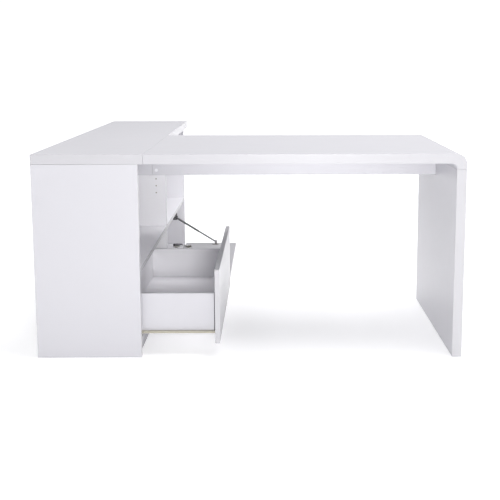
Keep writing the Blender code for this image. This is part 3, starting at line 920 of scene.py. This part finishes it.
@dataclass
class Cabinet:
    """The carcass: its top, three uprights, and the boards, plinth and back of each bay."""

    boards: Boards
    fixings: Fixings
    rows: Pair = (44 * MM, 325 * MM)                  # pin-hole rows, back from the carcass's front edges
    heights: tuple[float, ...] = (491 * MM, 523 * MM, 555 * MM)
    cap_rows: Pair = (62 * MM, 318 * MM)
    cap_drops: Pair = (33 * MM, 16 * MM)              # caps below the uprights' tops, and below the dividers
    nail_pitch: float = 75 * MM
    nail_inset: float = 9 * MM

    def build(self) -> None:
        """Builds every board of the cabinet, its caps and its nails."""
        shelf = self.boards.shelf
        self.boards.place("cabinet_top", Body.DESK, shelf.foil, shelf.band)
        self.upright("end_panel_near", (1,), shelf.melamine)
        self.upright("partition", (-1, 1), shelf.melamine)
        # The far upright's inner face and the far bay's divider and bottom take the darker copy of the melamine:
        # painted shade.
        self.upright("end_panel_far", (-1,), shelf.liner)
        for bay, face in (("near", shelf.melamine), ("far", shelf.liner)):
            self.boards.place(f"divider_{bay}", Body.DESK, face, shelf.paper)
            self.boards.place(f"bottom_{bay}", Body.DESK, face, shelf.paper)
            # The plinths' darker foil is painted shade.
            self.boards.place(f"plinth_{bay}", Body.DESK, shelf.plinth)
            self.boards.place(f"back_{bay}", Body.DESK, shelf.melamine)
            self.nails(bay)

    def upright(self, node: str, ways: Sequence[int], lining: Look) -> None:
        """Builds an upright with pin holes and caps on its inner faces.

        Args:
            node: The upright's node.
            ways: The way along Y that each inner face faces.
            lining: The inner faces' material.
        """
        shelf = self.boards.shelf
        low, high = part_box(node)
        made = self.boards.shape(node, shelf.foil, shelf.band)
        made.data.materials.append(lining)
        for face in made.data.polygons:
            if any(face.normal.y * way > SQUARE for way in ways):
                face.material_index = 2
        front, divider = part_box("end_panel_near")[1].x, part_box("divider_near")[0].z
        cap_heights = (high.z - self.cap_drops[0], divider - self.cap_drops[1])
        holes, caps = [], []
        for way in ways:
            y, out = high.y if way > 0 else low.y, ACROSS * way
            holes += [(Vector((front - row, y, z)), out) for row in self.rows for z in self.heights]
            caps += [(Vector((front - row, y, z)), out) for row in self.cap_rows for z in cap_heights]
        self.fixings.pin_holes(made, holes)
        self.boards.maker.mount(made, Body.DESK, node)
        self.fixings.caps(f"{node}_cam_caps", caps)

    def nails(self, bay: str) -> None:
        """Nails round the edge of a back panel, and into its divider and bottom.

        Args:
            bay: The bay's word in the names of nodes.
        """
        low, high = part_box(f"back_{bay}")
        inset, tall, wide = self.nail_inset, high.z - low.z - 2 * self.nail_inset, high.y - low.y
        count = round(tall / self.nail_pitch)
        spots = [(y, low.z + inset + tall * i / count) for y in (low.y + inset, high.y - inset)
                 for i in range(count + 1)]
        levels = (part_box(f"bottom_{bay}")[0].z + inset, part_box(f"divider_{bay}")[0].z + inset, high.z - inset)
        spots += [(low.y + self.nail_pitch * i, z) for i in range(1, round(wide / self.nail_pitch))
                  for z in levels]
        self.fixings.nails(f"back_{bay}_nails", [(Vector((low.x, y, z)), -ALONG) for y, z in spots])


@dataclass
class Drawer:
    """The drawer on its roller runners."""

    boards: Boards
    fixings: Fixings
    groove: float = 6 * MM                 # how deep the bottom sits in the sides
    side_edge: float = 0.6 * MM
    banded: float = 0.8 * MM               # faces this near the top edge are its band
    outside: float = 0.1 * MM              # faces this near the outer face are foiled
    # The side stops this short of the front, and a dark strip fills the room: painted shadow in the gap.
    buffer: float = 5 * MM
    buffer_gap: float = 0.1 * MM
    buffer_inset: float = 1.5 * MM
    buffer_edge: float = 0.5 * MM
    steel_edge: float = 0.25 * MM
    axle_edge: float = 0.15 * MM
    sheet: float = 1.0 * MM                # the runners' steel
    screw_shares: tuple[float, ...] = (0.16, 0.5, 0.84)
    screw_size: float = 0.8
    bore: float = 2.05 * MM                # a roller's bore, hub and rim
    hub: float = 3.4 * MM
    rim: float = 1.7 * MM
    draft: float = 0.4 * MM                # slope of the walls between them
    dish: float = 1.1 * MM
    crown: Pair = (0.5 * MM, 0.9 * MM)     # the tread's rounded edge: how far in, and how far along
    roller_steps: int = 40

    def build(self) -> None:
        """Builds the drawer's box and front, then the runners of both sides."""
        maker, shelf = self.boards.maker, self.boards.shelf
        made = self.boards.shape("drawer_front", shelf.lacquer, shelf.band)
        # The front's inner face takes the brighter melamine, partly as painted light that lifts it out of the
        # shade behind the front.
        made.data.materials.append(shelf.melamine)
        for face in made.data.polygons:
            if face.normal.x < -SQUARE:
                face.material_index = 2
        maker.mount(made, Body.DRAWER, "drawer_front")
        self.boards.place("drawer_back", Body.DRAWER, shelf.melamine, shelf.band)
        self.boards.place("drawer_bottom", Body.DRAWER, shelf.melamine)
        for side in Side:
            self.side(side)
            maker.from_frame(f"slide_{side.word}", shelf.cream, Body.DRAWER, self.steel_edge)
            self.runner(side)
            self.roller(f"roller_{side.word}", Body[f"ROLLER_{side.name}"])
            self.roller(f"slide_roller_{side.word}", Body[f"SLIDE_ROLLER_{side.name}"])
            maker.from_frame(f"axle_{side.word}", shelf.nickel, Body.DESK, self.axle_edge)
            maker.from_frame(f"slide_axle_{side.word}", shelf.nickel, Body.DRAWER, self.axle_edge)
            self.slide_screws(side)

    def side(self, side: Side) -> None:
        """Builds a grooved side board with a band on its top edge, and the dark strip before it that paints
        the shadow in the gap at the front.

        Args:
            side: Which one.
        """
        maker, shelf, node, way = self.boards.maker, self.boards.shelf, f"drawer_side_{side.word}", side.value
        low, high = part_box(node)
        inner, outer = (high.y, low.y) if way > 0 else (low.y, high.y)
        floor_low, floor_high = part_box("drawer_bottom")[0].z - GAP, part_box("drawer_bottom")[1].z + GAP
        deep = inner - way * self.groove
        outline = [(outer, low.z), (inner, low.z), (inner, floor_low), (deep, floor_low), (deep, floor_high),
                   (inner, floor_high), (inner, high.z), (outer, high.z)]
        mesh = ease(prism_mesh(outline, 0, low.x, high.x - self.buffer), self.side_edge)
        for face in mesh.faces:
            middle = face.calc_center_median()
            if middle.z > high.z - self.banded:
                face.material_index = 1
            elif abs(middle.y - outer) < self.outside:
                face.material_index = 2
        board = maker.rough(f"{node}_made", mesh, [shelf.melamine, shelf.band, shelf.foil])
        maker.mount(board, Body.DRAWER, node)
        # A dark strip in the side's last few millimetres: painted shadow between side and front.
        inset = self.buffer_inset
        mesh = box_mesh(Vector((high.x - self.buffer + self.buffer_gap, low.y + inset, low.z + inset)),
                        Vector((high.x, high.y - inset, high.z - inset)))
        maker.extra(f"{node}_buffer", ease(mesh, self.buffer_edge), shelf.rubber, Body.DRAWER, Slot.DARK)

    def runner(self, side: Side) -> None:
        """Builds a fixed runner with its screws in the web.

        Args:
            side: Which one.
        """
        node, way = f"runner_{side.word}", side.value
        self.boards.maker.from_frame(node, self.boards.shelf.cream, Body.DESK, self.steel_edge)
        low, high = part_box(node)
        web = (low.y if way > 0 else high.y) + way * self.sheet
        places = [(Vector((low.x + (high.x - low.x) * share, web, (low.z + high.z) / 2)), ACROSS * way)
                  for share in self.screw_shares]
        self.fixings.screws(f"{node}_screws", Body.DESK, places, self.screw_size)

    def slide_screws(self, side: Side) -> None:
        """Drives the screws that hold a slide's sole up against the drawer's side.

        Args:
            side: Which one.
        """
        low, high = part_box(f"drawer_side_{side.word}")
        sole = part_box(f"slide_{side.word}")[0].z
        places = [(Vector((low.x + (high.x - low.x) * share, (low.y + high.y) / 2, sole)), -UP)
                  for share in self.screw_shares]
        self.fixings.screws(f"slide_{side.word}_screws", Body.DRAWER, places, self.screw_size)

    def roller(self, node: str, body: Body) -> None:
        """Builds a moulded roller: a crowned tread round a dished hub, bored for its axle.

        Args:
            node: The roller's node.
            body: The body it rides on.
        """
        low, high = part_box(node)
        radius, half = (high.z - low.z) / 2, (high.y - low.y) / 2
        rim, dish, tread = radius - self.rim, half - self.dish, radius - self.crown[0]
        side = [(self.bore, half), (self.hub, half), (self.hub + self.draft, dish), (rim, dish),
                (rim + self.draft, half), (tread, half), (radius, half - self.crown[1])]
        profile = side + [(r, -h) for r, h in reversed(side)]
        mesh = lathe_mesh(profile, (low + high) / 2, ACROSS, self.roller_steps, closed=True)
        self.boards.maker.piece(node, mesh, self.boards.shelf.nylon, body)


@dataclass
class Flap:
    """The drop-down flap with the bores for its hinges."""

    boards: Boards
    fixings: Fixings
    bore_radius: float = 17.5 * MM
    bore_deep: float = 14.9 * MM
    bore_over: float = 3 * MM              # how far the cutter stands above the face
    bore_steps: int = 64
    cup_inset: float = 21.5 * MM           # the cups' middles, from the flap's edge

    def build(self) -> None:
        """Builds the flap with its bores, then both hinges."""
        maker, shelf = self.boards.maker, self.boards.shelf
        made = self.boards.shape("flap", shelf.lacquer, shelf.band)
        flap_low, flap_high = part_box("flap")
        radius, deep, over = self.bore_radius, self.bore_deep, self.bore_over
        centres = {}
        for side in Side:
            low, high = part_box(f"hinge_cup_{side.word}")
            centres[side] = centre = Vector((flap_low.x + self.cup_inset, (low.y + high.y) / 2, flap_high.z))
            bore = lathe_mesh([(0, -deep), (radius, -deep), (radius, over), (0, over)], centre, UP,
                              self.bore_steps)
            maker.cut(made, maker.rough("bore", bore, [shelf.chips]))
        maker.mount(made, Body.FLAP, "flap")
        for side, centre in centres.items():
            Hinge(self.boards, self.fixings, side.word, centre).build()


@dataclass
class Hinge:
    """One cup hinge: the cup in the flap, the arm on its plate, the pin between, and what covers them."""

    boards: Boards
    fixings: Fixings
    side: str                              # the side's word in the names of nodes
    centre: Vector                         # the cup's middle, on the flap's inner face
    radius: float = 17.2 * MM
    deep: float = 14.5 * MM
    wall: float = 0.8 * MM
    rim: float = 18.6 * MM                 # the flange's radius
    clear: float = 0.3 * MM                # the flange's underside above the flap
    lip: float = 1.3 * MM                  # and its top
    lip_round: Pair = (0.4 * MM, 0.3 * MM)
    round_outside: float = 1.5 * MM        # at the cup's bottom
    round_inside: float = 1.4 * MM
    cup_steps: int = 56
    ear: Pair = (-9 * MM, 11 * MM)         # the ears' reach back and forward of the cup's middle
    ear_far: float = 30 * MM
    ear_lap: float = 2 * MM                # how far the ears run into the flange
    ear_top: float = 1.2 * MM
    ear_corner: float = 3.5 * MM
    ear_edge: float = 0.2 * MM
    ear_screws: Pair = (1 * MM, 24.5 * MM)
    pin_edge: float = 0.1 * MM
    arm_edge: float = 0.25 * MM
    plate_edge: float = 0.4 * MM
    foot: float = 2.2 * MM                 # the plate's foot
    plate_screws: Pair = (19 * MM, 19.5 * MM)
    arm_screw: float = 26 * MM             # the arm's own screw, from the plate's back
    cover_half: float = 7 * MM
    cover_rise: float = 7.5 * MM           # the cover's top above the arm
    cover_gap: float = 0.1 * MM            # and its bottom
    cover_start: float = 11 * MM
    cover_inset: float = 1.5 * MM          # its nose, in from the carcass's front
    cover_back: Pair = (6 * MM, 2 * MM)    # the slopes at its back and its nose: how long, and how tall
    cover_nose: Pair = (9 * MM, 4 * MM)
    cover_edge: float = 0.9 * MM
    clip_past: float = 1 * MM              # how far the clip reaches behind the arm
    clip_edge: float = 1.2 * MM
    clip_lap: float = 1.5 * MM             # how far the clip stands past the cover, and below its top
    bush_bore: float = 1.2 * MM
    bush_radius: float = 2.9 * MM
    bush: Pair = (4.6 * MM, 11.5 * MM)     # from where to where it lies on the pin
    bush_chamfer: float = 0.5 * MM
    bush_steps: int = 28

    def build(self) -> None:
        """Builds the cup, pin, arm and plate with their screws, then the cover, the clip and the bushes."""
        maker, shelf = self.boards.maker, self.boards.shelf
        maker.piece(f"hinge_cup_{self.side}", self.cup(), shelf.nickel, Body.FLAP)
        x, y = self.ear_screws
        screws = [(self.centre + Vector((x, way * y, self.ear_top)), UP) for way in (-1, 1)]
        self.fixings.screws(f"hinge_cup_{self.side}_screws", Body.FLAP, screws)
        maker.from_frame(f"hinge_pin_{self.side}", shelf.nickel, Body.FLAP, self.pin_edge)
        maker.from_frame(f"hinge_arm_{self.side}", shelf.nickel, Body.DESK, self.arm_edge)
        maker.from_frame(f"hinge_plate_{self.side}", shelf.nickel, Body.DESK, self.plate_edge)
        self.cover()
        self.bushes()
        low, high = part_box(f"hinge_plate_{self.side}")
        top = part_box(f"hinge_arm_{self.side}")[1].z + self.cover_rise
        x, y = self.plate_screws
        middle = Vector((low.x + x, (low.y + high.y) / 2, low.z + self.foot))
        screws = [(middle + ACROSS * way * y, UP) for way in (-1, 1)]
        screws.append((Vector((low.x + self.arm_screw, middle.y, top)), UP))
        self.fixings.screws(f"hinge_plate_{self.side}_screws", Body.DESK, screws)

    def cup(self) -> Mesh:
        """Shapes the pressed cup with its flange and two ears.

        Returns:
            One mesh.
        """
        outer, inner, rim, lip, wall = self.radius, self.radius - self.wall, self.rim, self.lip, self.wall
        floor, flat, steep = -self.deep, *self.lip_round
        shell = [(0, floor), (outer - self.round_outside, floor), (outer, floor + self.round_outside),
                 (outer, self.clear), (rim, self.clear), (rim, lip - steep), (rim - flat, lip),
                 (inner + steep, lip), (inner, lip - flat), (inner, floor + wall + self.round_inside),
                 (inner - self.round_inside, floor + wall), (0, floor + wall)]
        parts = [lathe_mesh(shell, self.centre, UP, self.cup_steps)]
        for way in (-1, 1):
            near, far = sorted((way * (rim - self.ear_lap), way * self.ear_far))
            outline = rounded((self.centre.x + self.ear[0], self.centre.y + near),
                              (self.centre.x + self.ear[1], self.centre.y + far), self.ear_corner)
            sheet = prism_mesh(outline, 2, self.centre.z + self.clear, self.centre.z + self.ear_top)
            parts.append(ease(sheet, self.ear_edge, 2))
        return joined(*parts)

    def cover(self) -> None:
        """Builds the pressed channel over the arm, and the clip behind it."""
        maker, shelf, y = self.boards.maker, self.boards.shelf, self.centre.y
        arm_low, arm_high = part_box(f"hinge_arm_{self.side}")
        low, top = arm_high.z + self.cover_gap, arm_high.z + self.cover_rise
        start = arm_low.x + self.cover_start
        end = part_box("end_panel_near")[1].x - self.cover_inset
        (back_long, back_tall), (nose_long, nose_tall) = self.cover_back, self.cover_nose
        outline = [(start, low), (start, top - back_tall), (start + back_long, top), (end - nose_long, top),
                   (end, top - nose_tall), (end, low)]
        mesh = ease(prism_mesh(outline, 1, y - self.cover_half, y + self.cover_half), self.cover_edge)
        maker.extra(f"hinge_cover_{self.side}", mesh, shelf.zinc, Body.DESK, Slot.BRIGHT)
        half = self.cover_half + self.clip_lap
        plate_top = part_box(f"hinge_plate_{self.side}")[1].z
        mesh = box_mesh(Vector((arm_low.x - self.clip_past, y - half, plate_top)),
                        Vector((start - GAP, y + half, top - self.clip_lap)))
        maker.extra(f"hinge_clip_{self.side}", ease(mesh, self.clip_edge), shelf.acetal, Body.DESK, Slot.DARK)

    def bushes(self) -> None:
        """Builds the two bushes on the pin."""
        maker, shelf = self.boards.maker, self.boards.shelf
        low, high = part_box(f"hinge_pin_{self.side}")
        (start, end), radius, bore = self.bush, self.bush_radius, self.bush_bore
        ring = [(bore, start), (radius, start), (radius, end - self.bush_chamfer),
                (radius - self.bush_chamfer, end), (bore, end)]
        for name, way in (("a", -1), ("b", 1)):
            mesh = lathe_mesh(ring, (low + high) / 2, ACROSS * way, self.bush_steps, closed=True)
            maker.extra(f"hinge_bush_{self.side}_{name}", mesh, shelf.acetal, Body.FLAP, Slot.DARK)


@dataclass
class Stay:
    """The flap's stay: a rod from a foot on the flap, past a friction brake on the far upright."""

    boards: Boards
    fixings: Fixings
    shaft: float = 4.5 * MM
    shaft_start: float = 6 * MM            # from the foot's pin
    shaft_share: float = 0.4               # of the rod's length
    lap: float = 4 * MM                    # how far the shaft runs into the sleeve
    sleeve: float = 5.2 * MM
    sleeve_chamfer: float = 0.8 * MM
    past: float = 10 * MM                  # how far the rod runs past the brake's pin
    collar: float = 5.8 * MM
    collar_back: float = 6 * MM            # its start, back from the rod's length
    collar_slope: float = 0.4 * MM
    collar_past: float = 1 * MM            # and its end, past it
    rod_steps: int = 32
    eye: float = 6.5 * MM
    eye_steps: int = 40
    eye_bore: float = 2.1 * MM
    eye_ends: Pair = (-4.5 * MM, 4.3 * MM)
    chamfer: float = 0.6 * MM
    foot_screws: tuple[float, ...] = (6 * MM, 4.6 * MM, 2 * MM)      # in from the foot's low corner
    plate_inset: float = 7 * MM
    screw_size: float = 0.8
    steel_edge: float = 0.3 * MM
    pin_edge: float = 0.2 * MM
    brake_edge: float = 0.8 * MM

    def build(self) -> None:
        """Builds the rod, its foot and pin, and the brake on its plate and pin."""
        maker, shelf = self.boards.maker, self.boards.shelf
        foot, brake = joint_place("stay_rod_turn"), joint_place("stay_brake_turn")
        self.rod(foot, Vector((brake.x, foot.y, brake.z)))
        maker.from_frame("stay_foot", shelf.nickel, Body.FLAP, self.steel_edge)
        maker.from_frame("foot_pin", shelf.nickel, Body.FLAP, self.pin_edge)
        maker.from_frame("stay_brake", shelf.dark, Body.BRAKE, self.brake_edge)
        maker.from_frame("brake_pin", shelf.nickel, Body.DESK, self.steel_edge)
        maker.from_frame("stay_plate", shelf.dark, Body.DESK, self.steel_edge)
        low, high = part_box("stay_foot")
        x, y, z = self.foot_screws
        screws = [(Vector((at, low.y + y, low.z + z)), UP) for at in (low.x + x, high.x - x)]
        self.fixings.screws("stay_foot_screws", Body.FLAP, screws, self.screw_size)
        low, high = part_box("stay_plate")
        middle = (low.x + high.x) / 2
        heights = (low.z + self.plate_inset, high.z - self.plate_inset)
        screws = [(Vector((middle, low.y, height)), -ACROSS) for height in heights]
        self.fixings.screws("stay_plate_screws", Body.DESK, screws, self.screw_size)

    def rod(self, foot: Vector, brake: Vector) -> None:
        """Builds the rod: a bright shaft with its eye, and a dark sleeve with a stop collar past the brake. The
        shaft's lighter grey is painted light: it stands for the reflection that the rod shows towards its foot.

        Args:
            foot: The middle of the foot's pin.
            brake: The middle of the brake's pin, in the rod's own plane.
        """
        maker, shelf = self.boards.maker, self.boards.shelf
        along = (brake - foot).normalized()
        length = (brake - foot).length + self.past
        start, wide, collar = length * self.shaft_share, self.sleeve, self.collar
        end, back = length + self.collar_past, length - self.collar_back
        sleeve = [(0, start), (wide - self.sleeve_chamfer, start), (wide, start + self.sleeve_chamfer),
                  (wide, back), (collar, back + self.collar_slope), (collar, end - self.chamfer),
                  (collar - self.chamfer, end), (0, end)]
        maker.piece("stay_rod", lathe_mesh(sleeve, foot, along, self.rod_steps), shelf.dark, Body.ROD)
        # The shaft's zinc, lighter than the sleeve, is a painted reflection towards the rod's foot.
        low, high = self.shaft_start, start + self.lap
        profile = [(0, low), (self.shaft, low), (self.shaft, high), (0, high)]
        shaft = lathe_mesh(profile, foot, along, self.rod_steps)
        (low, high), eye, bevel = self.eye_ends, self.eye, self.chamfer
        ring = [(self.eye_bore, low), (eye - bevel, low), (eye, low + bevel), (eye, high - bevel),
                (eye - bevel, high), (self.eye_bore, high)]
        whole = joined(shaft, lathe_mesh(ring, foot, ACROSS, self.eye_steps, closed=True))
        maker.extra("stay_shaft", whole, shelf.zinc, Body.ROD, Slot.DARK)


# ---------------------------------------------------------------- the studio


@dataclass(frozen=True)
class Lamp:
    """A square soft light."""

    name: str
    place: tuple[float, float, float]
    size: float
    power: float

    def build(self, aim: Vector) -> None:
        """Hangs the lamp, turned to a point.

        Args:
            aim: The point.
        """
        lamp = bpy.data.lights.new(self.name, "AREA")
        lamp.size, lamp.energy = self.size, self.power
        made = bpy.data.objects.new(self.name, lamp)
        made.location = self.place
        made.rotation_mode = "QUATERNION"
        made.rotation_quaternion = (aim - made.location).to_track_quat("-Z", "Y")
        bpy.context.scene.collection.objects.link(made)


@dataclass
class Studio:
    """Pale floor, soft lights and the camera."""

    lamps: tuple[Lamp, ...] = (Lamp("overhead", (0.9, -0.1, 3.6), 2.6, 120.0),
                               Lamp("right", (6.4, -1.0, 1.7), 2.6, 140.0),
                               Lamp("front", (0.45, -3.6, 0.95), 0.7, 47.0),
                               Lamp("rear", (-2.6, 2.4, 3.8), 2.4, 45.0))
    aim: tuple[float, float, float] = (-0.2, 0.0, 0.4)
    camera_at: tuple[float, float, float] = (0.074254, -2.978299, 1.096095)
    pitch: float = 0.109527                # below level, in radians
    roll: float = 0.002095
    focal: float = 1.3164                  # as a share of the picture's width
    centre: Pair = (0.53846, 0.264)        # where the lens's axis meets the picture, from its top left corner
    sensor: float = 36.0
    sky: float = 0.38                      # how strongly the surround lights the desk
    sky_colour: tuple[float, ...] = (0.98, 0.985, 1.0, 1.0)
    backdrop: float = 1.05                 # how bright it is itself
    white: tuple[float, ...] = (1.0, 1.0, 1.0, 1.0)
    floor_radius: float = 30.0
    floor_steps: int = 96
    floor_drop: float = 0.5 * MM
    glow: Pair = (0.31, 0.9)               # the floor's own light, near the desk and far off
    glow_reach: Pair = (1.6, 5.0)          # where it starts to rise, and where it stops

    def build(self) -> None:
        """Sets the floor, the world, the lights and the camera."""
        self.floor()
        self.world()
        for lamp in self.lamps:
            lamp.build(Vector(self.aim))
        self.camera()
        bpy.context.scene.view_settings.view_transform = "Standard"

    def floor(self) -> None:
        """Lays a broad matt floor, lit a little from within like a light table."""
        mesh = bmesh.new()
        bmesh.ops.create_circle(mesh, cap_ends=True, segments=self.floor_steps, radius=self.floor_radius)
        data = bpy.data.meshes.new("floor")
        mesh.to_mesh(data)
        mesh.free()
        floor = bpy.data.objects.new("floor", data)
        bpy.context.scene.collection.objects.link(floor)
        # White painted board: matt, with a faint roll of unevenness in its gloss.
        look = Finish("painted_floor", "F4F4F5", "F6F6F7", 0.85, 4.0, 0.0, drift_mm=900,
                      spread=0.05).material()
        tree = look.node_tree
        shader = tree.nodes["Principled BSDF"]
        shader.inputs["Emission Color"].default_value = self.white
        place = add_node(tree, "ShaderNodeTexCoord").outputs["Object"]
        reach = add_node(tree, "ShaderNodeVectorMath", {0: place}, operation="LENGTH").outputs["Value"]
        inputs = {"Value": reach, "From Min": self.glow_reach[0], "From Max": self.glow_reach[1],
                  "To Min": self.glow[0], "To Max": self.glow[1]}
        glow = add_node(tree, "ShaderNodeMapRange", inputs, interpolation_type="SMOOTHSTEP")
        tree.links.new(glow.outputs["Result"], shader.inputs["Emission Strength"])
        data.materials.append(look)
        floor.location.z = -self.floor_drop

    def world(self) -> None:
        """Sets an even white surround, seen as pure white and lighting the desk more softly."""
        world = bpy.data.worlds.new("surround")
        bpy.context.scene.world = world
        world.use_nodes = True
        tree = world.node_tree
        tree.nodes.clear()
        seen = add_node(tree, "ShaderNodeLightPath").outputs["Is Camera Ray"]
        light = add_node(tree, "ShaderNodeBackground", {"Color": self.sky_colour, "Strength": self.sky})
        white = add_node(tree, "ShaderNodeBackground", {"Color": self.white, "Strength": self.backdrop})
        mix = add_node(tree, "ShaderNodeMixShader", {0: seen, 1: light.outputs[0], 2: white.outputs[0]})
        add_node(tree, "ShaderNodeOutputWorld", {"Surface": mix.outputs[0]})

    def camera(self) -> None:
        """Sets the camera, level enough to keep uprights upright."""
        data = bpy.data.cameras.new("camera")
        data.sensor_width, data.lens = self.sensor, self.focal * self.sensor
        data.shift_x, data.shift_y = 0.5 - self.centre[0], self.centre[1] - 0.5
        made = bpy.data.objects.new("camera", data)
        tilt = Matrix.Rotation(math.pi / 2 - self.pitch, 4, "X") @ Matrix.Rotation(-self.roll, 4, "Z")
        made.matrix_world = Matrix.Translation(self.camera_at) @ tilt
        bpy.context.scene.collection.objects.link(made)
        bpy.context.scene.camera = made


def corners(box: Iterable[Vector]) -> list[list[float]]:
    """A box's two corners as plain lists."""
    return [[round(value, 6) for value in corner] for corner in box]


def main() -> None:
    """Builds the desk piece by piece, then the studio round it."""
    logging.basicConfig(level=logging.INFO, format="%(name)s: %(message)s")
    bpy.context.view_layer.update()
    maker, shelf = Maker(), Shelf()
    boards, fixings = Boards(maker, shelf), Fixings(maker, shelf)
    Tabletop(boards).build()
    for part in (Stretcher, Cabinet, Drawer, Flap, Stay):
        part(boards, fixings).build()
    fixings.clear()
    Studio().build()


if __name__ == "__main__":
    main()
